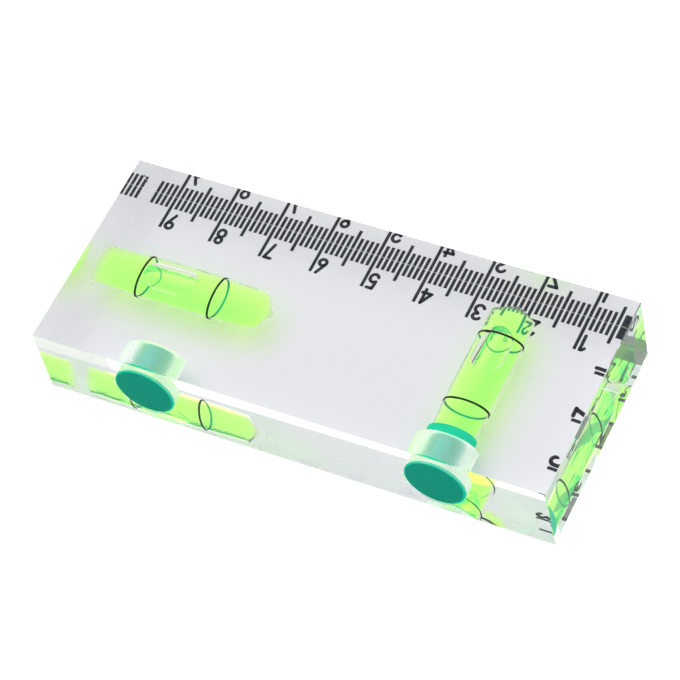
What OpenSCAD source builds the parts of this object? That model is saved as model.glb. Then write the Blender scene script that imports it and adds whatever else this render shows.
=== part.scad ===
// Clear acrylic pocket level: two barrelled spirit vials at right angles,
// two magnets behind coloured caps in the front edge, and a ruler printed on the underside.
// Millimetres. Origin in the middle of the underside, +X to the right end, +Y to the back edge, +Z up.

/* [Block] */
// Length of the block, left end to right end
block_length = 95.8; // [94:0.1:110]
// Width of the block, front edge to back edge
block_width = 40.2; // [40:0.1:46]
// Height of the block, underside to top
block_height = 15; // [14:0.5:20]
// Width of the polished break along every outer edge
edge_break = 0.1; // [0.05:0.05:0.4]

/* [Vials] */
// Largest diameter of each barrelled vial, midway between its reading lines
vial_diameter = 8.5; // [8.3:0.1:8.8]
// Radius of the lengthwise curve that a vial's wall is bored to
wall_curve = 270; // [220:10:600]
// Diameter of the mouth bored for each vial's plug
mouth_diameter = 8.9; // [8.9:0.1:9.4]
// Full angle of the drill point at the bottom of each vial
drill_point_angle = 118; // [110:1:140]
// Depth of the long vial from the left end to the foot of its drill point
long_vial_depth = 33.6; // [32:0.1:40]
// Depth of the cross vial from the front edge to the foot of its drill point
cross_vial_depth = 33.2; // [33:0.1:35]
// Thickness of the plug that closes each vial
plug_thickness = 2.1; // [1:0.1:2.6]

/* [Reading lines] */
// Distance between the two reading lines of a vial
line_spacing = 14.2; // [13:0.1:15]
// Width of a reading line
line_width = 0.4; // [0.2:0.02:0.5]
// Thickness of the ink ring in its groove
line_thickness = 0.1; // [0.06:0.02:0.2]
// Middle of the long vial's reading lines, from the left end
long_lines_at = 18; // [16.5:0.1:19]
// Middle of the cross vial's reading lines, from the front edge
cross_lines_at = 20.8; // [20:0.1:22]

/* [Bubbles] */
// Height of a bubble below the top of its vial
bubble_depth = 2.85; // [2.6:0.05:3.4]
// Radius of the rounded ends and belly of a bubble
bubble_radius = 3.1; // [2.9:0.05:3.4]
// Length of the long vial's bubble
long_bubble_length = 10.5; // [8:0.1:12]
// Length of the cross vial's bubble
cross_bubble_length = 9.8; // [8:0.1:11]
// How far the long bubble stands to the left of its lines' middle
long_bubble_left = 1.65; // [0:0.05:3]
// How far the cross bubble stands behind its lines' middle
cross_bubble_back = 4; // [0:0.1:4.2]

/* [Magnets] */
// Distance from the left end of the block to the left magnet
left_magnet_inset = 20.3; // [19:0.1:24]
// Distance from the right end to the right magnet and the cross vial
right_magnet_inset = 20.7; // [19:0.1:24]
// Diameter of a magnet disc
magnet_diameter = 10; // [9:0.1:10.4]
// Diameter of the pocket bored for a magnet and its cap
pocket_diameter = 11.3; // [10.8:0.1:12]
// Depth of the pocket from the front edge
pocket_depth = 6.25; // [6:0.05:7]
// Thickness of the coloured cap
cap_thickness = 1; // [0.5:0.05:1.2]
// How far the cap sits behind the front edge
cap_recess = 0.1; // [0.1:0.05:0.5]

/* [Ruler] */
// Width of a printed mark along the back edge
mark_width = 0.58; // [0.3:0.02:0.7]
// Width of a printed mark along the right end
end_mark_width = 0.48; // [0.3:0.02:0.7]
// Depth of the ink in the underside
ink_depth = 0.06; // [0.04:0.01:0.1]
// Reach of a millimetre mark from the back edge
mm_mark_reach = 2.5; // [1.8:0.1:2.8]
// Reach of a five-millimetre mark from the back edge
half_mark_reach = 4; // [3.2:0.1:4.4]
// Reach of a centimetre mark from the back edge
cm_mark_reach = 6.9; // [5:0.1:7.4]
// Reach of a five-millimetre mark from the right end
end_half_mark_reach = 3.6; // [3.2:0.1:4.4]
// Reach of a centimetre mark from the right end
end_cm_mark_reach = 5; // [4.6:0.1:6]
// Clear strip between the marks and the back edge
mark_margin = 0.12; // [0.12:0.02:0.6]
// Clear strip between the marks and the right end
end_mark_margin = 0.12; // [0.12:0.02:0.8]
// How far the rulers' zero stands in from the right end and the back edge
zero_inset = 0.15; // [0:0.05:0.5]

/* [Fits] */
// Film of glue or liquid that keeps curved pieces apart
film = 0.05; // [0.04:0.01:0.06]

/* [Hidden] */
$fn = 96;
left_end = -block_length / 2;
right_end = block_length / 2;
front_edge = -block_width / 2;
back_edge = block_width / 2;
axis_height = block_height / 2;
vial_radius = vial_diameter / 2;
mouth_radius = mouth_diameter / 2;
cone_slope = tan(drill_point_angle / 2);
left_magnet_x = left_end + left_magnet_inset;
right_magnet_x = right_end - right_magnet_inset;
magnet_length = pocket_depth - cap_recess - cap_thickness;
plug_back = pocket_depth + plug_thickness;
cut = 1;
marks_along = floor(block_length - 1);
marks_across = floor((block_width - 1) / 5);
wall_steps = 14;

// A frame that puts z = 0 on the left end, with z running to the right along the vial
module along_long_vial() {
    translate([left_end, 0, axis_height]) rotate([0, 90, 0]) children();
}

// A frame that puts z = 0 on the front edge, with z running to the back along the vial
module along_cross_vial() {
    translate([right_magnet_x, front_edge, axis_height]) rotate([-90, 0, 0]) children();
}

// The same frame on either magnet pocket
module at_pocket(side) {
    magnet_x = side < 0 ? left_magnet_x : right_magnet_x;
    translate([magnet_x, front_edge, axis_height]) rotate([-90, 0, 0]) children();
}

// Radius of a vial's wall at a distance along it from the middle of its lines
function wall(away) = vial_radius - wall_curve + sqrt(wall_curve * wall_curve - away * away);

// Points up a vial's wall from z = start to z = end, drawn in by inset
function wall_points(lines_at, start, end, inset) = [
    for (i = [0:wall_steps])
        let (z = start + (end - start) * i / wall_steps)
        [wall(z - lines_at) - inset, z]
];

// Barrelled vial from z = start to z = end, widest at z = lines_at, that closes in a drill point
module barrelled(lines_at, start, end, inset) {
    tip = [0, end + (wall(end - lines_at) - inset) / cone_slope];
    rotate_extrude()
        polygon(concat([[0, start]], wall_points(lines_at, start, end, inset), [tip]));
}

// Ring of ink on a vial's wall, half the line spacing from the lines' middle
module reading_line(middle_at) {
    inner = wall(line_spacing / 2);
    translate([0, 0, middle_at - line_width / 2])
        difference() {
            cylinder(r = inner + line_thickness, h = line_width);
            translate([0, 0, -cut]) cylinder(r = inner, h = line_width + 2 * cut);
        }
}

// Groove that holds a reading line
module line_groove(middle_at) {
    translate([0, 0, middle_at - line_width / 2])
        cylinder(r = wall(line_spacing / 2) + line_thickness + film, h = line_width);
}

// Rounded bar lying along X from x = -length / 2 to length / 2
module rounded_bar(length, radius) {
    straight = length - 2 * radius;
    translate([-straight / 2, 0, 0]) rotate([0, 90, 0]) cylinder(r = radius, h = straight);
    translate([-straight / 2, 0, 0]) sphere(r = radius);
    translate([straight / 2, 0, 0]) sphere(r = radius);
}

// Middle line of a bubble's rounded bar, above the underside
bubble_height = axis_height + vial_radius - bubble_depth + bubble_radius;
long_bubble_x = left_end + long_lines_at - long_bubble_left;
cross_bubble_y = front_edge + cross_lines_at + cross_bubble_back;

module long_bubble_bar(extra) {
    translate([long_bubble_x, 0, bubble_height])
        rounded_bar(long_bubble_length + 2 * extra, bubble_radius + extra);
}

module cross_bubble_bar(extra) {
    translate([right_magnet_x, cross_bubble_y, bubble_height]) rotate([0, 0, 90])
        rounded_bar(cross_bubble_length + 2 * extra, bubble_radius + extra);
}

// Rectangle with its four corners cut off
function broken(a, b) = [
    [-a / 2 + edge_break, -b / 2],
    [a / 2 - edge_break, -b / 2],
    [a / 2, -b / 2 + edge_break],
    [a / 2, b / 2 - edge_break],
    [a / 2 - edge_break, b / 2],
    [-a / 2 + edge_break, b / 2],
    [-a / 2, b / 2 - edge_break],
    [-a / 2, -b / 2 + edge_break]
];

// Solid block with a narrow break along every edge
module blank() {
    intersection() {
        linear_extrude(block_height) polygon(broken(block_length, block_width));
        translate([0, back_edge, axis_height]) rotate([90, 0, 0])
            linear_extrude(block_width) polygon(broken(block_length, block_height));
        translate([left_end, 0, axis_height]) rotate([90, 0, 90])
            linear_extrude(block_length) polygon(broken(block_width, block_height));
    }
}

// Reach of the mark that stands some millimetres from zero
function reach(mm, small, half, whole) = mm % 10 == 0 ? whole : mm % 5 == 0 ? half : small;

// Ruler along the back edge, counted from the right end
module along_marks() {
    for (mm = [1:marks_along]) {
        length = reach(mm, mm_mark_reach, half_mark_reach, cm_mark_reach);
        translate([right_end - zero_inset - mm - mark_width / 2, back_edge - length, 0])
            cube([mark_width, length - mark_margin, ink_depth]);
    }
}

// Ruler along the right end, counted from the back edge, a mark every five millimetres
module across_marks() {
    for (step = [1:marks_across]) {
        length = reach(5 * step, 0, end_half_mark_reach, end_cm_mark_reach);
        translate([right_end - length, back_edge - zero_inset - 5 * step - end_mark_width / 2, 0])
            cube([length - end_mark_margin, end_mark_width, ink_depth]);
    }
}

// The block with its barrelled vials, plug mouths, magnet pockets, line grooves and ruler
module block() {
    color([0.93, 0.95, 0.96, 0.35]) difference() {
        blank();
        along_long_vial() {
            translate([0, 0, -cut]) cylinder(r = mouth_radius, h = plug_thickness + cut);
            barrelled(long_lines_at, plug_thickness - 0.5, long_vial_depth, 0);
        }
        along_cross_vial() {
            translate([0, 0, pocket_depth - cut]) cylinder(r = mouth_radius, h = plug_thickness + cut);
            barrelled(cross_lines_at, plug_back - 0.5, cross_vial_depth, 0);
        }
        for (side = [-1, 1])
            at_pocket(side) translate([0, 0, -cut])
                cylinder(d = pocket_diameter, h = pocket_depth + cut);
        for (side = [-1, 1]) {
            along_long_vial() line_groove(long_lines_at + side * line_spacing / 2);
            along_cross_vial() line_groove(cross_lines_at + side * line_spacing / 2);
        }
        along_marks();
        across_marks();
    }
}

// Liquid of the long vial, with the bubble's place left open at the top
module long_vial_fluid() {
    color([0.7, 1, 0.25, 0.6]) difference() {
        along_long_vial() barrelled(long_lines_at, plug_thickness, long_vial_depth - film, film);
        long_bubble_bar(film);
    }
}

// Air bubble of the long vial
module long_vial_bubble() {
    color([0.95, 1, 0.9, 0.4]) intersection() {
        along_long_vial() barrelled(long_lines_at, plug_thickness, long_vial_depth, 2 * film);
        long_bubble_bar(0);
    }
}

// Clear disc glued into the mouth of the long vial
module long_vial_plug() {
    color([0.93, 0.95, 0.96, 0.35])
        along_long_vial() cylinder(r = mouth_radius - film, h = plug_thickness);
}

module long_line_left() {
    color("black") along_long_vial() reading_line(long_lines_at - line_spacing / 2);
}

module long_line_right() {
    color("black") along_long_vial() reading_line(long_lines_at + line_spacing / 2);
}

// Liquid of the cross vial, behind its plug
module cross_vial_fluid() {
    color([0.7, 1, 0.25, 0.6]) difference() {
        along_cross_vial() barrelled(cross_lines_at, plug_back, cross_vial_depth - film, film);
        cross_bubble_bar(film);
    }
}

// Air bubble of the cross vial
module cross_vial_bubble() {
    color([0.95, 1, 0.9, 0.4]) intersection() {
        along_cross_vial() barrelled(cross_lines_at, plug_back, cross_vial_depth, 2 * film);
        cross_bubble_bar(0);
    }
}

// Teal disc that closes the cross vial at the floor of the right pocket
module cross_vial_plug() {
    color([0.1, 0.8, 0.62]) along_cross_vial() translate([0, 0, pocket_depth])
        cylinder(r = mouth_radius - film, h = plug_thickness);
}

module cross_line_front() {
    color("black") along_cross_vial() reading_line(cross_lines_at - line_spacing / 2);
}

module cross_line_back() {
    color("black") along_cross_vial() reading_line(cross_lines_at + line_spacing / 2);
}

// Magnet disc between its cap and the pocket's floor
module magnet(side) {
    color([0.75, 0.78, 0.8]) at_pocket(side) translate([0, 0, pocket_depth - magnet_length])
        cylinder(d = magnet_diameter, h = magnet_length);
}

module magnet_left() {
    magnet(-1);
}

module magnet_right() {
    magnet(1);
}

// Coloured cap just behind the front edge
module magnet_cap(side) {
    color([0.11, 0.58, 0.48]) at_pocket(side) translate([0, 0, cap_recess])
        cylinder(r = pocket_diameter / 2 - film, h = cap_thickness);
}

module magnet_cap_left() {
    magnet_cap(-1);
}

module magnet_cap_right() {
    magnet_cap(1);
}

module ruler_marks() {
    color("black") along_marks();
}

module end_ruler_marks() {
    color("black") across_marks();
}

block();
long_vial_fluid();
long_vial_bubble();
long_vial_plug();
long_line_left();
long_line_right();
cross_vial_fluid();
cross_vial_bubble();
cross_vial_plug();
cross_line_front();
cross_line_back();
magnet_left();
magnet_right();
magnet_cap_left();
magnet_cap_right();
ruler_marks();
end_ruler_marks();
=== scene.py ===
import math

import bmesh
import bpy
from mathutils import Matrix, Vector


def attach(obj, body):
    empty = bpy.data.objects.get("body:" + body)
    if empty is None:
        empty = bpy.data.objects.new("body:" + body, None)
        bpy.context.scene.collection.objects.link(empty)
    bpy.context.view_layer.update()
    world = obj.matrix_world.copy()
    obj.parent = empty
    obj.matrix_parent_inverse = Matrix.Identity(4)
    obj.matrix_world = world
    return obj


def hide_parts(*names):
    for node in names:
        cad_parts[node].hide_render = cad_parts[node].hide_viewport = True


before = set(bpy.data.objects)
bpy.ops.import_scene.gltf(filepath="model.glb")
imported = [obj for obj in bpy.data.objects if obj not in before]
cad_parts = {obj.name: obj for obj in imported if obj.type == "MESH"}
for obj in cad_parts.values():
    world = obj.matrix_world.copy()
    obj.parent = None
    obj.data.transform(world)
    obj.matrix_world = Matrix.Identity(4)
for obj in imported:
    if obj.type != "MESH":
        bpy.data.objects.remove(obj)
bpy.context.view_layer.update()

MM = 0.001

# Sizes of the block and its drillings, in millimetres, as the frame has them
LENGTH, WIDTH, HEIGHT = 95.8, 40.2, 15.0
LEFT, RIGHT = -LENGTH / 2, LENGTH / 2
FRONT, BACK = -WIDTH / 2, WIDTH / 2
AXIS_Z = HEIGHT / 2
BREAK = 0.1

# The polish rolls the top face off towards the right end, which enlarges the ruler's last marks there
ROLL_WIDTH, ROLL_DROP, ROLL_STEPS = 1.3, 0.075, 12

# Vials, with depths from the face that each is drilled from to the start of its drill point
VIAL_R, WALL_CURVE = 4.25, 270.0
LONG_DEPTH, CROSS_DEPTH = 33.6, 33.2
DRILL_POINT = 118.0
CONE_SLOPE = math.tan(math.radians(DRILL_POINT / 2))
PLUG, PLUG_R = 2.1, 4.45

# Reading lines in pairs, with the middle of each pair where its vial is widest
LONG_LINES, CROSS_LINES = 18.0, 20.8
LINE_SPACING, LINE_WIDTH, LINE_THICK = 14.2, 0.4, 0.1

# Magnets behind caps, in pockets in the front face
MAGNET_X = {"left": LEFT + 20.3, "right": RIGHT - 20.7}
CROSS_X = MAGNET_X["right"]
MAGNET_R = 5.0
POCKET_R, POCKET_DEPTH, POCKET_CHAMFER = 5.65, 6.25, 0.2
CAP_R, CAP_RECESS, CAP_THICK = 5.6, 0.1, 1.0
CAP_BACK = CAP_RECESS + CAP_THICK
CAP_MOUTH_R = CAP_R + 0.25
# Each cap's painted highlight is a ring between these radii, with its middle shifted down and to the left
# so the ring is broader at the upper right
LIT_RIM_INNER, LIT_RIM_OUTER, LIT_RIM_SHIFT = 5.18, 5.38, 0.12

# Bubbles, each a round belly under the vial's wall, and how far each stands from its lines' middle
BUBBLE_DEPTH, BUBBLE_R, BUBBLE_END = 2.85, 4.0, 3.6
BUBBLE_Z = AXIS_Z + VIAL_R - BUBBLE_DEPTH + BUBBLE_R
ROOF_FILM = 0.08
LONG_BUBBLE, CROSS_BUBBLE = 10.5, 9.8
LONG_BUBBLE_OFF, CROSS_BUBBLE_OFF = -1.65, 4.0
LONG_BUBBLE_X = LEFT + LONG_LINES + LONG_BUBBLE_OFF
CROSS_BUBBLE_Y = FRONT + CROSS_LINES + CROSS_BUBBLE_OFF

# Printed rulers, with their figures' places from the edges and from the centimetre marks
INK = 0.06
ZERO_INSET = 0.15
CENTIMETRE = 10
FIGURE_ASIDE = 1.5
FIGURE_FOOT, END_FIGURE_FOOT = 3.48, 5.3

# Film that keeps the faces of neighbouring pieces apart
FILM = 0.01
# How far a cutter stands out of the face that it cuts
OVERRUN = 2
# Corners round a vial, and round any other turned piece
FINE, PLAIN = 640, 128

ACRYLIC_IOR, LIQUID_IOR = 1.49, 1.43
# The clear plug is bonded to the block, so light hardly bends between them
BOND_IOR = 1.01

# Soft light, whose middle stands behind the object, up and to the left
TOWARD_LIGHT = (-0.367, 0.473, 0.801)
EVEN_LEVEL, BRIGHT_LEVEL, LIGHT_FOCUS = 0.8, 1.45, 4.0
# What the floor adds to be seen as white, and the share of it that mirrors and clear pieces show
FLOOR_LIFT, FLOOR_LIFT_SHARE = 0.5, 0.07


# Camera, as fitted to the corners and ruler marks of the photograph

def place_camera():
    data = bpy.data.cameras.new("photo_camera")
    data.sensor_width = 36.0
    data.lens = 163.70
    data.clip_start = 0.01
    data.clip_end = 10.0
    cam = bpy.data.objects.new("photo_camera", data)
    right = Vector((0.89104437, 0.42621365, -0.15614693))
    up = Vector((-0.26754373, 0.77103373, 0.57786447))
    back = Vector((0.36668827, -0.47312675, 0.80105605))
    turn = Matrix((right, up, back)).transposed().to_4x4()
    cam.matrix_world = Matrix.Translation((RIGHT * MM + 0.14498, -0.24823, 0.42935)) @ turn
    bpy.context.scene.collection.objects.link(cam)
    bpy.context.scene.camera = cam


# Nodes

def feed(tree, value, socket):
    """Links a socket to the output of another node, or sets it to a plain value."""
    if isinstance(value, bpy.types.NodeSocket):
        tree.links.new(value, socket)
    else:
        socket.default_value = value


def add_node(tree, kind, inputs):
    """Node with each of its named inputs fed."""
    node = tree.nodes.new(kind)
    for label, value in inputs.items():
        feed(tree, value, node.inputs[label])
    return node


def calculate(tree, operation, first, second):
    """Result of a Math node on two numbers."""
    node = tree.nodes.new("ShaderNodeMath")
    node.operation = operation
    feed(tree, first, node.inputs[0])
    feed(tree, second, node.inputs[1])
    return node.outputs["Value"]


def calculate_vector(tree, operation, first, second=(0, 0, 0), result="Vector"):
    """Result of a Vector Math node on two vectors."""
    node = tree.nodes.new("ShaderNodeVectorMath")
    node.operation = operation
    feed(tree, first, node.inputs[0])
    feed(tree, second, node.inputs[1])
    return node.outputs[result]


def mix_colours(tree, mask, tone_a, tone_b):
    """Colour between two tones, by a mask."""
    node = tree.nodes.new("ShaderNodeMix")
    node.data_type = "RGBA"
    feed(tree, mask, node.inputs["Factor"])
    # The colour sockets share their names with other sockets of the node, so they go by number
    feed(tree, tone_a, node.inputs[6])
    feed(tree, tone_b, node.inputs[7])
    return node.outputs[2]


def object_place(tree):
    return tree.nodes.new("ShaderNodeTexCoord").outputs["Object"]


def noise_over(tree, place, scale, detail, rough=0.5):
    return add_node(tree, "ShaderNodeTexNoise", {
        "Vector": place,
        "Scale": scale,
        "Detail": detail,
        "Roughness": rough,
    }).outputs["Fac"]


# Shader groups

def new_group(name, inputs, outputs):
    """Empty shader group, with its input node's outputs and its output node's inputs."""
    tree = bpy.data.node_groups.new(name, "ShaderNodeTree")
    for label, kind, value in inputs:
        socket = tree.interface.new_socket(label, in_out="INPUT", socket_type="NodeSocket" + kind)
        socket.default_value = value
    for label, kind in outputs:
        tree.interface.new_socket(label, in_out="OUTPUT", socket_type="NodeSocket" + kind)
    return tree, tree.nodes.new("NodeGroupInput").outputs, tree.nodes.new("NodeGroupOutput").inputs


def cloudy_tone():
    """Colour that drifts between two near tones."""
    tree, given, made = new_group(
        "cloudy_tone",
        [("Scale", "Float", 120.0), ("Tone A", "Color", (1, 1, 1, 1)), ("Tone B", "Color", (1, 1, 1, 1))],
        [("Colour", "Color")],
    )
    drift = noise_over(tree, object_place(tree), given["Scale"], detail=3.0, rough=0.55)
    feed(tree, mix_colours(tree, drift, given["Tone A"], given["Tone B"]), made["Colour"])
    return tree


def fine_grain():
    """Roughness that varies in fine specks, and a matching normal."""
    tree, given, made = new_group(
        "fine_grain",
        [
            ("Scale", "Float", 2500.0),
            ("Roughness low", "Float", 0.3),
            ("Roughness high", "Float", 0.5),
            ("Bump", "Float", 0.1),
        ],
        [("Roughness", "Float"), ("Normal", "Vector")],
    )
    specks = noise_over(tree, object_place(tree), given["Scale"], detail=4.0)
    spread = add_node(tree, "ShaderNodeMapRange", {
        "Value": specks,
        "To Min": given["Roughness low"],
        "To Max": given["Roughness high"],
    })
    bump = add_node(tree, "ShaderNodeBump", {
        "Height": specks,
        "Strength": given["Bump"],
        "Distance": 0.00002,
    })
    feed(tree, spread.outputs["Result"], made["Roughness"])
    feed(tree, bump.outputs["Normal"], made["Normal"])
    return tree


def turned_streaks():
    """Fine lines round a turned disc whose axis lies along Y."""
    tree, given, made = new_group(
        "turned_streaks",
        [("Scale", "Float", 900.0), ("Stretch", "Float", 0.04)],
        [("Mask", "Float")],
    )
    squeeze = add_node(tree, "ShaderNodeCombineXYZ", {"X": 1.0, "Y": given["Stretch"], "Z": 1.0})
    place = calculate_vector(tree, "MULTIPLY", object_place(tree), squeeze.outputs["Vector"])
    feed(tree, noise_over(tree, place, given["Scale"], detail=2.0), made["Mask"])
    return tree


def disc_rim():
    """Mask that is 0 in the middle of a disc facing Y and 1 at its rim, for a disc centred on Centre."""
    tree, given, made = new_group(
        "disc_rim",
        [("Centre", "Vector", (0, 0, 0)), ("Inner", "Float", 0.0045), ("Outer", "Float", 0.0055)],
        [("Mask", "Float")],
    )
    away = calculate_vector(tree, "SUBTRACT", object_place(tree), given["Centre"])
    flat = calculate_vector(tree, "MULTIPLY", away, (1, 0, 1))
    spread = add_node(tree, "ShaderNodeMapRange", {
        "Value": calculate_vector(tree, "LENGTH", flat, result="Value"),
        "From Min": given["Inner"],
        "From Max": given["Outer"],
    })
    spread.interpolation_type = "SMOOTHSTEP"
    feed(tree, spread.outputs["Result"], made["Mask"])
    return tree


TONE, GRAIN, STREAKS, RIM = cloudy_tone(), fine_grain(), turned_streaks(), disc_rim()


# Materials

def new_material(name):
    mat = bpy.data.materials.new(name)
    mat.use_nodes = True
    return mat, mat.node_tree, mat.node_tree.nodes["Principled BSDF"]


def set_values(node, values):
    for label, value in values.items():
        node.inputs[label].default_value = value


def place_group(tree, group, values):
    """Node of a shader group in a material, with its own values."""
    node = tree.nodes.new("ShaderNodeGroup")
    node.node_tree = group
    set_values(node, values)
    return node


def drifting_tone(tree, tone_a, tone_b, scale):
    """Colour that drifts between two near tones."""
    return place_group(tree, TONE, {"Scale": scale, "Tone A": tone_a, "Tone B": tone_b}).outputs["Colour"]


def add_grain(tree, skin, scale, bump, low, high):
    """Gives a skin fine specks, with a roughness between low and high."""
    grain = place_group(tree, GRAIN, {
        "Scale": scale,
        "Bump": bump,
        "Roughness low": low,
        "Roughness high": high,
    })
    feed(tree, grain.outputs["Roughness"], skin.inputs["Roughness"])
    feed(tree, grain.outputs["Normal"], skin.inputs["Normal"])


def add_shaders(tree, first, second, end):
    """Adds up two shader nodes at the surface or volume end of a material."""
    both = tree.nodes.new("ShaderNodeAddShader")
    feed(tree, first.outputs[0], both.inputs[0])
    feed(tree, second.outputs[0], both.inputs[1])
    feed(tree, both.outputs["Shader"], tree.nodes["Material Output"].inputs[end])


def glass_material(name, ior, tone_a, tone_b, rough=0.0, clear=1.0, painted_glow=0.0):
    """Clear plastic with a faint drift in its tint, polished unless it is given some roughness, and
    shining with painted light where it is given some.
    """
    mat, tree, skin = new_material(name)
    tone = drifting_tone(tree, tone_a, tone_b, scale=90.0)
    feed(tree, tone, skin.inputs["Base Color"])
    set_values(skin, {
        "Transmission Weight": clear,
        "Roughness": rough,
        "IOR": ior,
        "Specular Tint": (0.3, 0.3, 0.3, 1),
    })
    if painted_glow:
        # Painted light: the frosted surface shines in its own tint, standing in for light that travels
        # inside the clear block and comes out where its surface is frosted
        feed(tree, tone, skin.inputs["Emission Color"])
        skin.inputs["Emission Strength"].default_value = painted_glow
    return mat


def liquid_material():
    """Dyed liquid: tinted light passes, and painted light, which stands for the dye's fluorescence,
    brightens it where it is deep.
    """
    mat, tree, skin = new_material("dyed_liquid")
    tone = drifting_tone(tree, (0.97, 1.0, 0.9, 1), (0.94, 1.0, 0.86, 1), scale=60.0)
    feed(tree, tone, skin.inputs["Base Color"])
    # The bore's own material bends the light where acrylic and liquid meet
    set_values(skin, {"Transmission Weight": 1.0, "Roughness": 0.0, "IOR": 1.0})
    dye = add_node(tree, "ShaderNodeVolumeAbsorption", {"Color": (0.9, 0.935, 0.0, 1), "Density": 270.0})
    # Painted light: the liquid shines by itself, more where it is deep, whatever light reaches it
    painted_glow = add_node(tree, "ShaderNodeEmission", {"Color": (0.02, 1.0, 0.84, 1), "Strength": 58.0})
    add_shaders(tree, dye, painted_glow, "Volume")
    return mat


def bubble_material():
    """Air inside the liquid, so light bends the other way at its skin."""
    mat, tree, plain = new_material("air_in_liquid")
    tree.nodes.remove(plain)
    skin = add_node(tree, "ShaderNodeBsdfGlass", {"IOR": 1.0 / LIQUID_IOR, "Roughness": 0.0})
    tone = drifting_tone(tree, (1.0, 1.0, 1.0, 1), (0.97, 0.99, 0.95, 1), scale=200.0)
    feed(tree, tone, skin.inputs["Color"])
    feed(tree, skin.outputs["BSDF"], tree.nodes["Material Output"].inputs["Surface"])
    return mat


def cap_material(name, x):
    """Teal plastic with a painted highlight at its rim, a lighter colour that also shines by itself,
    broader towards the upper right where light gets in.
    """
    mat, tree, skin = new_material(name)
    tone = drifting_tone(tree, (0.002, 0.345, 0.225, 1), (0.003, 0.375, 0.245, 1), scale=500.0)
    rim = place_group(tree, RIM, {
        "Centre": ((x - LIT_RIM_SHIFT) * MM, FRONT * MM, (AXIS_Z - LIT_RIM_SHIFT) * MM),
        "Inner": LIT_RIM_INNER * MM,
        "Outer": LIT_RIM_OUTER * MM,
    }).outputs["Mask"]
    # Painted highlight: the rim is lighter and gives off light of its own
    feed(tree, mix_colours(tree, rim, tone, (0.002, 0.52, 0.33, 1)), skin.inputs["Base Color"])
    feed(tree, mix_colours(tree, rim, (0, 0, 0, 1), (0.01, 0.55, 0.36, 1)), skin.inputs["Emission Color"])
    set_values(skin, {"Emission Strength": 0.3, "Specular IOR Level": 0.03})
    add_grain(tree, skin, scale=2500.0, bump=0.15, low=0.38, high=0.52)
    return mat


def plug_material():
    """Plain bright teal plastic."""
    mat, tree, skin = new_material("bright_teal_plug")
    tone = drifting_tone(tree, (0.002, 0.70, 0.47, 1), (0.004, 0.76, 0.51, 1), scale=300.0)
    feed(tree, tone, skin.inputs["Base Color"])
    set_values(skin, {"Specular IOR Level": 0.0})
    add_grain(tree, skin, scale=2500.0, bump=0.05, low=0.3, high=0.5)
    return mat


def magnet_material():
    """Plated magnet with fine turning lines, whose teal colour is a painted reflection of the teal round
    it.
    """
    mat, tree, skin = new_material("plated_magnet")
    streaks = place_group(tree, STREAKS, {"Scale": 700.0, "Stretch": 0.03}).outputs["Mask"]
    # Painted reflection: the plating is coloured teal, as the teal round it would tint it
    tone = mix_colours(tree, streaks, (0.002, 0.34, 0.27, 1), (0.02, 0.43, 0.345, 1))
    feed(tree, tone, skin.inputs["Base Color"])
    set_values(skin, {"Metallic": 0.6, "Specular IOR Level": 0.0})
    add_grain(tree, skin, scale=1800.0, bump=0.05, low=0.28, high=0.42)
    return mat


def ink_material(name, tone_a, tone_b):
    """Matt ink with a faint drift in its tone."""
    mat, tree, skin = new_material(name)
    feed(tree, drifting_tone(tree, tone_a, tone_b, scale=800.0), skin.inputs["Base Color"])
    set_values(skin, {"Specular IOR Level": 0.1})
    add_grain(tree, skin, scale=4000.0, bump=0.05, low=0.6, high=0.8)
    return mat


ACRYLIC = glass_material("clear_acrylic", ACRYLIC_IOR, (1.0, 1.0, 1.0, 1), (0.99, 0.995, 1.0, 1))
BORE = glass_material(
    "acrylic_to_liquid",
    ACRYLIC_IOR / LIQUID_IOR,
    (1.0, 1.0, 1.0, 1),
    (0.98, 1.0, 0.97, 1),
    rough=0.2,
)
MILLED = glass_material(
    "milled_pocket_wall",
    ACRYLIC_IOR,
    (1.0, 1.0, 1.0, 1),
    (0.97, 1.0, 0.96, 1),
    rough=0.45,
    clear=0.95,
    # Painted light: the milled walls shine faintly by themselves
    painted_glow=0.14,
)
BOND = glass_material("bonded_acrylic", BOND_IOR, (1.0, 1.0, 1.0, 1), (0.99, 1.0, 0.995, 1))
LIQUID = liquid_material()
AIR = bubble_material()
TEAL_PLUG = plug_material()
MAGNET = magnet_material()
LINE_INK = ink_material("black_line_ink", (0.005, 0.005, 0.005, 1), (0.010, 0.010, 0.010, 1))
RULER_INK = ink_material("blue_black_ruler_ink", (0.019, 0.020, 0.034, 1), (0.026, 0.027, 0.043, 1))


# Meshes, built in millimetres and stored in metres

def new_object(name, bm, materials):
    """Object in the scene with the mesh of a bmesh, which is freed."""
    mesh = bpy.data.meshes.new(name)
    bm.to_mesh(mesh)
    bm.free()
    for mat in materials:
        mesh.materials.append(mat)
    made = bpy.data.objects.new(name, mesh)
    bpy.context.scene.collection.objects.link(made)
    return made


def temp_object(name, bm, *materials):
    bmesh.ops.recalc_face_normals(bm, faces=bm.faces)
    return new_object(name, bm, materials)


def finish_piece(name, bm, materials, body, nodes, sharp=30.0, hollow=False):
    """Turns a bmesh into a piece that is smooth, but for edges at which faces turn by sharp degrees.

    A hollow piece keeps the face directions it has, since its closed hollows face inward.
    """
    bmesh.ops.remove_doubles(bm, verts=bm.verts, dist=1e-5)
    if not hollow:
        bmesh.ops.recalc_face_normals(bm, faces=bm.faces)
    limit = math.radians(sharp)
    for face in bm.faces:
        face.smooth = True
    for edge in bm.edges:
        edge.smooth = len(edge.link_faces) == 2 and edge.calc_face_angle(0.0) < limit
    bmesh.ops.scale(bm, vec=(MM, MM, MM), verts=bm.verts)
    piece = new_object(name, bm, materials)
    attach(piece, body)
    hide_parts(*nodes)


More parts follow.
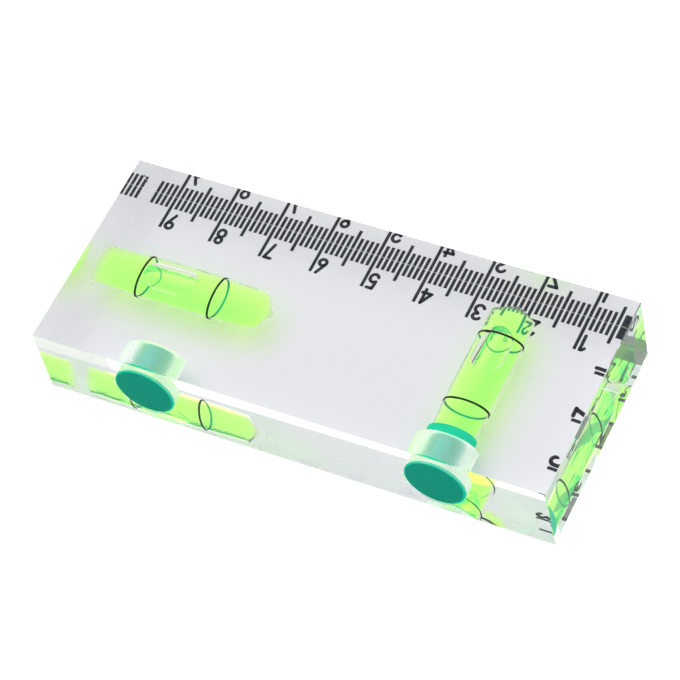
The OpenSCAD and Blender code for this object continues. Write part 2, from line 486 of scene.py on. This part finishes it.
def circle(bm, radius, height, corners):
    """Loop of points round Z."""
    return [
        bm.verts.new((
            radius * math.cos(2 * math.pi * i / corners),
            radius * math.sin(2 * math.pi * i / corners),
            height,
        ))
        for i in range(corners)
    ]


def bridge(bm, low, high):
    """Faces between two loops with as many points each."""
    for i in range(len(low)):
        j = (i + 1) % len(low)
        bm.faces.new((low[i], low[j], high[j], high[i]))


def bridge_round(bm, loops):
    """Faces between neighbouring loops, and between the last one and the first."""
    for low, high in zip(loops, loops[1:] + loops[:1]):
        bridge(bm, low, high)


def turned(profile, corners=PLAIN):
    """Solid of revolution about Z from (radius, height) points, the first and last on the axis."""
    bm = bmesh.new()
    start = bm.verts.new((0, 0, profile[0][1]))
    loops = [circle(bm, radius, height, corners) for radius, height in profile[1:-1]]
    end = bm.verts.new((0, 0, profile[-1][1]))
    for i in range(corners):
        bm.faces.new((start, loops[0][(i + 1) % corners], loops[0][i]))
    for low, high in zip(loops, loops[1:]):
        bridge(bm, low, high)
    for i in range(corners):
        bm.faces.new((loops[-1][i], loops[-1][(i + 1) % corners], end))
    return bm


def lay_along_x(bm, x):
    bm.transform(Matrix.Translation((x, 0, AXIS_Z)) @ Matrix.Rotation(math.radians(90), 4, "Y"))


def lay_along_y(bm, x, y):
    bm.transform(Matrix.Translation((x, y, AXIS_Z)) @ Matrix.Rotation(math.radians(-90), 4, "X"))


def wall(away):
    """Radius of a vial's wall at a distance along it from the middle of its lines."""
    return VIAL_R - WALL_CURVE + math.sqrt(WALL_CURVE ** 2 - away ** 2)


def barrel_profile(lines_at, start, end, inset=0.0, steps=28):
    """Barrelled vial from start to end, widest at lines_at, that closes in a drill point."""
    heights = [start + (end - start) * i / steps for i in range(steps + 1)]
    points = [(wall(z - lines_at) - inset, z) for z in heights]
    return [(0, start)] + points + [(0, end + points[-1][0] / CONE_SLOPE)]


def broken_block():
    """Box with a narrow flat along all edges but the lowest, and with its top rolled off at the right."""
    bm = bmesh.new()
    bmesh.ops.create_cube(bm, size=1.0)
    bmesh.ops.scale(bm, vec=(LENGTH, WIDTH, HEIGHT), verts=bm.verts)
    bmesh.ops.translate(bm, vec=(0, 0, AXIS_Z), verts=bm.verts)
    upper = [edge for edge in bm.edges if any(v.co.z > AXIS_Z for v in edge.verts)]
    bmesh.ops.bevel(bm, geom=upper, offset=BREAK, segments=1, affect="EDGES", profile=0.5)
    start = RIGHT - ROLL_WIDTH
    for k in range(-1, ROLL_STEPS):
        x = start + (ROLL_WIDTH - BREAK) * k / ROLL_STEPS
        whole = [*bm.verts, *bm.edges, *bm.faces]
        bmesh.ops.bisect_plane(bm, geom=whole, plane_co=(x, 0, 0), plane_no=(1, 0, 0))
    for vert in bm.verts:
        if vert.co.z > HEIGHT - 2 * BREAK:
            vert.co.z -= ROLL_DROP * (max(0.0, vert.co.x - start) / ROLL_WIDTH) ** 2
    return bm


def drilling_tools():
    """Solids to cut from the block: both vials, and each magnet's room and the mouth before its cap."""
    long_vial = turned(barrel_profile(LONG_LINES, PLUG, LONG_DEPTH), FINE)
    # Its flat end is where the clear plug is bonded in
    for face in long_vial.faces:
        if all(v.co.z < PLUG + FILM for v in face.verts):
            face.material_index = 1
    lay_along_x(long_vial, LEFT)
    cross_vial = turned(barrel_profile(CROSS_LINES, POCKET_DEPTH + PLUG, CROSS_DEPTH), FINE)
    lay_along_y(cross_vial, CROSS_X, FRONT)
    tools = [
        temp_object("long_drill", long_vial, BORE, BOND),
        temp_object("cross_drill", cross_vial, BORE),
    ]
    # The cap is glued all round, so the room starts behind it and the wider mouth ends before it
    room_start, mouth_end = CAP_BACK - 2 * FILM, CAP_RECESS + FILM
    for x in MAGNET_X.values():
        room = turned([
            (0, room_start),
            (POCKET_R, room_start),
            (POCKET_R, POCKET_DEPTH - POCKET_CHAMFER),
            (POCKET_R - POCKET_CHAMFER, POCKET_DEPTH),
            (0, POCKET_DEPTH),
        ])
        mouth = turned([
            (0, -OVERRUN),
            (CAP_MOUTH_R, -OVERRUN),
            (CAP_MOUTH_R, mouth_end),
            (0, mouth_end),
        ])
        for name, bm, mat in (("room", room, MILLED), ("mouth", mouth, ACRYLIC)):
            lay_along_y(bm, x, FRONT)
            tools.append(temp_object(name, bm, mat))
    return tools


def make_block():
    block = temp_object("blank", broken_block(), ACRYLIC)
    tools = drilling_tools()
    for tool in tools:
        cut = block.modifiers.new("cut", "BOOLEAN")
        cut.operation = "DIFFERENCE"
        cut.solver = "EXACT"
        cut.material_mode = "TRANSFER"
        cut.object = tool
    graph = bpy.context.evaluated_depsgraph_get()
    cut_mesh = bpy.data.meshes.new_from_object(block.evaluated_get(graph), depsgraph=graph)
    bm = bmesh.new()
    bm.from_mesh(cut_mesh)
    materials = list(cut_mesh.materials)
    for made in [block, *tools]:
        bpy.data.objects.remove(made)
    bpy.data.meshes.remove(cut_mesh)
    finish_piece("acrylic_block", bm, materials, "level", ["block"], sharp=20.0, hollow=True)


def make_liquids():
    bm = turned(barrel_profile(LONG_LINES, PLUG + FILM, LONG_DEPTH - FILM, FILM), FINE)
    lay_along_x(bm, LEFT)
    finish_piece("long_liquid", bm, [LIQUID], "level", ["long_vial_fluid"])
    bm = turned(barrel_profile(CROSS_LINES, POCKET_DEPTH + PLUG + FILM, CROSS_DEPTH - FILM, FILM), FINE)
    lay_along_y(bm, CROSS_X, FRONT)
    finish_piece("cross_liquid", bm, [LIQUID], "level", ["cross_vial_fluid"])


def bubble_mesh(length, off):
    """Bubble along X with its middle at x = 0: a rounded belly under a roof that follows the wall.

    off is how far the bubble stands from the middle of its lines.
    """
    straight = length / 2 - BUBBLE_END
    down = BUBBLE_Z - AXIS_Z
    # Sections along the bubble, points across its roof or belly, and neighbours that soften a point
    stations, across, soft = 72, 96, 5

    def roof_radius(x):
        return wall(x + off) - ROOF_FILM

    def belly_radius(x):
        over = max(0.0, abs(x) - straight)
        return BUBBLE_R * math.sqrt(max(1 - (over / BUBBLE_END) ** 2, 0.0))

    def tip(way):
        """How far the bubble reaches along its vial, where belly and roof run together."""
        reach, step = straight, 0.002
        while down - belly_radius(reach) < roof_radius(way * reach):
            reach += step
        return way * (reach - step)

    low_tip, high_tip = tip(-1), tip(1)
    bm = bmesh.new()
    loops = []
    for i in range(1, stations):
        t = (1 + math.sin(math.pi * (i / stations - 0.5))) / 2
        x = low_tip + (high_tip - low_tip) * t
        belly, vial = belly_radius(x), roof_radius(x)
        # Where belly and vial wall meet
        rise = (vial ** 2 - belly ** 2 + down ** 2) / (2 * down)
        half = math.sqrt(max(vial ** 2 - rise ** 2, 1e-8))
        roof = math.atan2(half, rise)
        under = math.atan2(half, down - rise)
        section = []
        for j in range(across):
            a = roof - 2 * roof * j / across
            section.append(Vector((x, vial * math.sin(a), AXIS_Z + vial * math.cos(a))))
        for j in range(across):
            a = -under + 2 * under * j / across
            section.append(Vector((x, belly * math.sin(a), BUBBLE_Z - belly * math.cos(a))))
        # The corners between roof and belly are soft: each point moves to the middle of its neighbours
        loop = []
        for j in range(len(section)):
            near = [section[(j + k) % len(section)] for k in range(-soft, soft + 1)]
            loop.append(bm.verts.new(sum(near, Vector()) / len(near)))
        loops.append(loop)
    for low, high in zip(loops, loops[1:]):
        bridge(bm, low, high)
    for loop, x in ((loops[0], low_tip), (loops[-1], high_tip)):
        end = bm.verts.new((x, 0, AXIS_Z + roof_radius(x)))
        for j in range(len(loop)):
            bm.faces.new((loop[j], loop[(j + 1) % len(loop)], end))
    return bm


def make_bubbles():
    bm = bubble_mesh(LONG_BUBBLE, LONG_BUBBLE_OFF)
    bm.transform(Matrix.Translation((LONG_BUBBLE_X, 0, 0)))
    finish_piece("long_bubble", bm, [AIR], "long_bubble", ["long_vial_bubble"], sharp=50.0)
    bm = bubble_mesh(CROSS_BUBBLE, CROSS_BUBBLE_OFF)
    turn = Matrix.Rotation(math.radians(90), 4, "Z")
    bm.transform(Matrix.Translation((CROSS_X, CROSS_BUBBLE_Y, 0)) @ turn)
    finish_piece("cross_bubble", bm, [AIR], "cross_bubble", ["cross_vial_bubble"], sharp=50.0)


def ring_mesh(at):
    """Ring of ink in its groove, at a height along the vial."""
    low, high = at - LINE_WIDTH / 2, at + LINE_WIDTH / 2
    inner = wall(LINE_SPACING / 2) + FILM
    outer = inner + LINE_THICK - FILM
    bm = bmesh.new()
    corners = ((inner, low), (outer, low), (outer, high), (inner, high))
    bridge_round(bm, [circle(bm, radius, height, PLAIN) for radius, height in corners])
    return bm


def make_lines():
    for name, at in (
        ("long_line_left", LONG_LINES - LINE_SPACING / 2),
        ("long_line_right", LONG_LINES + LINE_SPACING / 2),
        ("cross_line_front", CROSS_LINES - LINE_SPACING / 2),
        ("cross_line_back", CROSS_LINES + LINE_SPACING / 2),
    ):
        bm = ring_mesh(at)
        if name.startswith("long"):
            lay_along_x(bm, LEFT)
        else:
            lay_along_y(bm, CROSS_X, FRONT)
        finish_piece("ink_" + name, bm, [LINE_INK], "level", [name])


def rounded_disc(radius, low, high, edge, steps=5):
    """Profile of a disc with rounded rims."""
    turns = [math.pi / 2 * i / steps for i in range(steps + 1)]
    return [
        (0, low),
        *[(radius - edge + edge * math.sin(a), low + edge - edge * math.cos(a)) for a in turns],
        *[(radius - edge + edge * math.cos(a), high - edge + edge * math.sin(a)) for a in turns],
        (0, high),
    ]


def make_magnets():
    for side, x in MAGNET_X.items():
        bm = turned(rounded_disc(MAGNET_R, CAP_BACK, POCKET_DEPTH - FILM, edge=0.15))
        lay_along_y(bm, x, FRONT)
        finish_piece("plated_magnet_" + side, bm, [MAGNET], "level", ["magnet_" + side])
        bm = turned(rounded_disc(CAP_R - FILM, CAP_RECESS, CAP_BACK, edge=0.02))
        lay_along_y(bm, x, FRONT)
        mat = cap_material("teal_cap_" + side, x)
        finish_piece("teal_cap_" + side, bm, [mat], "level", ["magnet_cap_" + side])


def make_plugs():
    gap = 2 * FILM
    bm = turned(rounded_disc(PLUG_R, POCKET_DEPTH + gap, POCKET_DEPTH + PLUG - gap, edge=0.35))
    lay_along_y(bm, CROSS_X, FRONT)
    finish_piece("teal_plug", bm, [TEAL_PLUG], "level", ["cross_vial_plug"])
    bm = turned(rounded_disc(PLUG_R, gap, PLUG - gap, edge=0.05))
    lay_along_x(bm, LEFT)
    finish_piece("clear_plug", bm, [BOND], "level", ["long_vial_plug"])


# Ruler marks by Geometry Nodes

def marks_tree():
    """Row of marks along X from its start, with longer marks at each half and each whole centimetre."""
    tree = bpy.data.node_groups.new("ruler_marks", "GeometryNodeTree")
    tree.interface.new_socket("Geometry", in_out="INPUT", socket_type="NodeSocketGeometry")
    sizes = {}
    for label, kind, value in (
        ("Marks", "Int", 94),
        ("Spacing", "Float", 0.001),
        ("Marks per half", "Int", 5),
        ("Marks per whole", "Int", 10),
        ("Short reach", "Float", 0.0025),
        ("Half reach", "Float", 0.004),
        ("Whole reach", "Float", 0.0069),
        ("Margin", "Float", 0.00005),
        ("Mark width", "Float", 0.00058),
        ("Ink depth", "Float", 0.00006),
        ("Turn", "Vector", (0, 0, 0)),
        ("Start", "Vector", (0, 0, 0)),
        ("Ink", "Material", None),
    ):
        socket = tree.interface.new_socket(label, in_out="INPUT", socket_type="NodeSocket" + kind)
        if value is not None:
            socket.default_value = value
        sizes[label] = socket.identifier
    tree.interface.new_socket("Geometry", in_out="OUTPUT", socket_type="NodeSocketGeometry")
    given = tree.nodes.new("NodeGroupInput").outputs
    made = tree.nodes.new("NodeGroupOutput").inputs

    step = add_node(tree, "ShaderNodeCombineXYZ", {"X": given["Spacing"]}).outputs["Vector"]
    row = add_node(tree, "GeometryNodeMeshLine", {
        "Count": given["Marks"],
        "Start Location": step,
        "Offset": step,
    })
    row.mode = "OFFSET"
    index = tree.nodes.new("GeometryNodeInputIndex").outputs["Index"]
    number = calculate(tree, "ADD", index, 1.0)

    def longer_at_every(count, plain, longer):
        """Reach of a mark, which is longer at each mark whose number count divides."""
        left = calculate(tree, "MODULO", number, given[count])
        pick = tree.nodes.new("GeometryNodeSwitch")
        pick.input_type = "FLOAT"
        feed(tree, calculate(tree, "LESS_THAN", left, 0.5), pick.inputs["Switch"])
        feed(tree, plain, pick.inputs["False"])
        feed(tree, longer, pick.inputs["True"])
        return pick.outputs["Output"]

    reach = longer_at_every("Marks per half", given["Short reach"], given["Half reach"])
    reach = longer_at_every("Marks per whole", reach, given["Whole reach"])

    # Each mark is a brick of one unit that stands on its point, scaled to its sizes
    brick = add_node(tree, "GeometryNodeMeshCube", {"Size": (1, 1, 1)})
    seat = add_node(tree, "GeometryNodeTransform", {
        "Geometry": brick.outputs["Mesh"],
        "Translation": (0, 0.5, 0.5),
    })
    size = add_node(tree, "ShaderNodeCombineXYZ", {
        "X": given["Mark width"],
        "Y": calculate(tree, "SUBTRACT", reach, given["Margin"]),
        "Z": given["Ink depth"],
    })
    copies = add_node(tree, "GeometryNodeInstanceOnPoints", {
        "Points": row.outputs["Mesh"],
        "Instance": seat.outputs["Geometry"],
        "Scale": size.outputs["Vector"],
    })
    clear = add_node(tree, "ShaderNodeCombineXYZ", {"Y": given["Margin"]})
    shift = add_node(tree, "GeometryNodeTransform", {
        "Geometry": copies.outputs["Instances"],
        "Translation": clear.outputs["Vector"],
    })
    place = add_node(tree, "GeometryNodeTransform", {
        "Geometry": shift.outputs["Geometry"],
        "Rotation": given["Turn"],
        "Translation": given["Start"],
    })
    real = add_node(tree, "GeometryNodeRealizeInstances", {"Geometry": place.outputs["Geometry"]})
    paint = add_node(tree, "GeometryNodeSetMaterial", {
        "Geometry": real.outputs["Geometry"],
        "Material": given["Ink"],
    })
    feed(tree, paint.outputs["Geometry"], made["Geometry"])
    return tree, sizes


def run_marks(tree, sizes, values):
    """bmesh of one run of the marks tree, in millimetres."""
    holder = bpy.data.objects.new("marks_holder", bpy.data.meshes.new("marks_holder"))
    bpy.context.scene.collection.objects.link(holder)
    row = holder.modifiers.new("marks", "NODES")
    row.node_group = tree
    for label, value in values.items():
        row[sizes[label]] = value
    graph = bpy.context.evaluated_depsgraph_get()
    plain = bpy.data.meshes.new_from_object(holder.evaluated_get(graph), depsgraph=graph)
    bm = bmesh.new()
    bm.from_mesh(plain)
    holder.modifiers.remove(row)
    bpy.data.objects.remove(holder)
    bpy.data.meshes.remove(plain)
    for face in bm.faces:
        face.material_index = 0
    bmesh.ops.scale(bm, vec=(1 / MM, 1 / MM, 1 / MM), verts=bm.verts)
    return bm


# Figures, drawn with a pen of even width

def arc(cx, cy, rx, ry, start, end, steps=20):
    turns = [math.radians(start + (end - start) * i / steps) for i in range(steps + 1)]
    return [(cx + rx * math.cos(a), cy + ry * math.sin(a)) for a in turns]


PEN, END_PEN = 0.6, 0.7
MITRE_LIMIT, ROUND_END_STEPS = 0.45, 8
SHARP_TURN = math.radians(40)
TALL = 3.55
TOP, BASE = TALL - PEN / 2, PEN / 2
BOWL_R = 0.66
SIX_BOWL = arc(0, BASE + BOWL_R, BOWL_R, BOWL_R, 0, 360)[:-1]
SIX_TAIL = [(-0.57, BASE + BOWL_R + 0.33), (0.38, TOP + 0.05)]

# Each figure is a list of pen strokes, (points, closed), about x = 0 and up from y = 0
FIGURES = {
    "1": [
        ([(-0.14, TOP - 0.44), (0.02, TOP - 0.17), (0.26, TOP - 0.02), (0.55, TOP), (0.55, BASE)], False),
    ],
    "2": [
        (arc(-0.05, TOP - 0.64, 0.68, 0.64, 172, -35) + [(-0.82, BASE), (0.70, BASE)], False),
    ],
    "3": [
        (
            arc(-0.1, TOP - 0.60, 0.68, 0.60, 155, -90) + arc(-0.1, BASE + 0.78, 0.78, 0.78, 90, -158)[1:],
            False,
        ),
    ],
    "4": [
        ([(0.75, BASE + 0.75), (-0.98, BASE + 0.75), (0.30, TOP), (0.30, BASE)], False),
    ],
    "5": [
        ([(0.58, TOP), (-0.42, TOP), (-0.56, TOP - 1.30)], False),
        (arc(-0.04, BASE + 0.82, 0.74, 0.84, 134, -155), False),
    ],
    "6": [
        (SIX_BOWL, True),
        (SIX_TAIL, False),
    ],
    "7": [
        ([(-0.62, TOP), (0.62, TOP), (-0.25, BASE)], False),
    ],
    "8": [
        (arc(0, TOP - 0.64, 0.58, 0.64, 0, 360)[:-1], True),
        (arc(0, BASE + 0.80, 0.68, 0.80, 0, 360)[:-1], True),
    ],
    "9": [
        ([(-x, TALL - y) for x, y in SIX_BOWL], True),
        ([(-x, TALL - y) for x, y in SIX_TAIL], False),
    ],
}


def pen_stroke(bm, points, closed, width, place):
    """Flat bar of even width along points, with round ends and mitred bends, as a closed solid."""
    count = len(points)
    spots = [Vector(p) for p in points]
    left, right = [], []
    for i, spot in enumerate(spots):
        ways = []
        if closed or i > 0:
            ways.append((spot - spots[i - 1]).normalized())
        if closed or i < count - 1:
            ways.append((spots[(i + 1) % count] - spot).normalized())
        way = sum(ways, Vector((0, 0))).normalized()
        across = Vector((-way.y, way.x))
        reach = width / 2 / max(MITRE_LIMIT, across.dot(Vector((-ways[0].y, ways[0].x))))
        left.append(spot + across * reach)
        right.append(spot - across * reach)
    if closed:
        bridge_round(bm, [
            [bm.verts.new(place(p, z)) for p in side]
            for side, z in ((left, 0.0), (right, 0.0), (right, INK), (left, INK))
        ])
        return
    ends = []
    for spot, way in ((spots[-1], spots[-1] - spots[-2]), (spots[0], spots[0] - spots[1])):
        turn = math.atan2(way.y, way.x) + math.pi / 2
        turns = [turn - math.pi * k / ROUND_END_STEPS for k in range(1, ROUND_END_STEPS)]
        ends.append([spot + Vector((math.cos(a), math.sin(a))) * width / 2 for a in turns])
    outline = left + ends[0] + right[::-1] + ends[1]
    low = [bm.verts.new(place(p, 0.0)) for p in outline]
    high = [bm.verts.new(place(p, INK)) for p in outline]
    bridge(bm, low, high)
    bm.faces.new(high)
    bm.faces.new(low[::-1])


def runs(points):
    """Splits a stroke where it turns sharply, so that each run bends gently."""
    spots = [Vector(p) for p in points]
    found = [[points[0]]]
    for i in range(1, len(points) - 1):
        found[-1].append(points[i])
        if (spots[i] - spots[i - 1]).angle(spots[i + 1] - spots[i]) > SHARP_TURN:
            found.append([points[i]])
    found[-1].append(points[-1])
    return found


def draw_figure(bm, figure, foot, up, pen):
    """Draws a figure on the underside, with its foot at a place and its head along up."""

    def place(p, z):
        return (foot[0] + up[1] * p[0] + up[0] * p[1], foot[1] - up[0] * p[0] + up[1] * p[1], z)

    for points, closed in FIGURES[figure]:
        for run in [points] if closed else runs(points):
            pen_stroke(bm, run, closed, pen, place)


def make_ruler():
    tree, sizes = marks_tree()
    bm = run_marks(tree, sizes, {
        "Marks": 94,
        "Turn": (0.0, 0.0, math.pi),
        "Start": ((RIGHT - ZERO_INSET) * MM, BACK * MM, 0.0),
        "Ink": RULER_INK,
    })
    for number in range(1, 10):
        x = RIGHT - ZERO_INSET - CENTIMETRE * number + FIGURE_ASIDE
        draw_figure(bm, str(number), (x, BACK - FIGURE_FOOT), (0, -1), PEN)
    finish_piece("printed_ruler", bm, [RULER_INK], "level", ["ruler_marks"])

    bm = run_marks(tree, sizes, {
        "Marks": 7,
        "Spacing": 0.005,
        "Marks per half": 1,
        "Marks per whole": 2,
        "Half reach": 0.0036,
        "Whole reach": 0.005,
        "Mark width": 0.0006,
        "Turn": (0.0, 0.0, -math.pi / 2),
        "Start": (RIGHT * MM, (BACK - ZERO_INSET) * MM, 0.0),
        "Ink": RULER_INK,
    })
    # The turn lays the marks outwards from the end, so they are mirrored back over it
    for vert in bm.verts:
        vert.co.x = 2 * RIGHT - vert.co.x
    for number in range(1, 4):
        y = BACK - ZERO_INSET - CENTIMETRE * number + FIGURE_ASIDE
        draw_figure(bm, str(number), (RIGHT - END_FIGURE_FOOT, y), (1, 0), END_PEN)
    finish_piece("printed_end_ruler", bm, [RULER_INK], "level", ["end_ruler_marks"])


# Floor, backdrop and light

def floor_material():
    """Pale floor that the camera sees as white and that still takes the object's shadow."""
    mat, tree, skin = new_material("pale_floor")
    set_values(skin, {
        "Base Color": (0.775, 0.775, 0.815, 1),
        "Roughness": 1.0,
        "Specular IOR Level": 0.0,
    })
    path = tree.nodes.new("ShaderNodeLightPath").outputs
    shown = calculate(tree, "MAXIMUM", path["Is Glossy Ray"], path["Is Transmission Ray"])
    shown = calculate(tree, "MULTIPLY", shown, FLOOR_LIFT_SHARE)
    seen = calculate(tree, "MAXIMUM", path["Is Camera Ray"], shown)
    lift = add_node(tree, "ShaderNodeEmission", {
        "Color": (1, 0.94, 0.98, 1),
        "Strength": calculate(tree, "MULTIPLY", seen, FLOOR_LIFT),
    })
    add_shaders(tree, skin, lift, "Surface")
    return mat


def make_floor():
    bm = bmesh.new()
    bmesh.ops.create_grid(bm, x_segments=1, y_segments=1, size=3.0)
    bmesh.ops.translate(bm, vec=(0, 0, -FILM * MM), verts=bm.verts)
    new_object("floor", bm, [floor_material()])


def make_world():
    """Even light, with a wide soft light in it towards the upper left behind the object."""
    world = bpy.data.worlds.new("studio")
    bpy.context.scene.world = world
    world.use_nodes = True
    tree = world.node_tree
    way = tree.nodes.new("ShaderNodeTexCoord").outputs["Generated"]
    toward = calculate_vector(tree, "DOT_PRODUCT", way, TOWARD_LIGHT, result="Value")
    facing = add_node(tree, "ShaderNodeMapRange", {"Value": toward}).outputs["Result"]
    level = add_node(tree, "ShaderNodeMapRange", {
        "Value": calculate(tree, "POWER", facing, LIGHT_FOCUS),
        "To Min": EVEN_LEVEL,
        "To Max": BRIGHT_LEVEL,
    })
    sky = tree.nodes["Background"]
    sky.inputs["Color"].default_value = (1, 1, 1, 1)
    feed(tree, level.outputs["Result"], sky.inputs["Strength"])


place_camera()
make_block()
make_liquids()
make_bubbles()
make_lines()
make_magnets()
make_plugs()
make_ruler()
make_floor()
make_world()
bpy.context.scene.view_settings.view_transform = "Standard"
# Light crosses many clear faces on its way through the block and the vials
light_paths = bpy.context.scene.cycles
light_paths.max_bounces = 40
light_paths.transmission_bounces = 40
light_paths.glossy_bounces = 20
light_paths.blur_glossy = 0.0
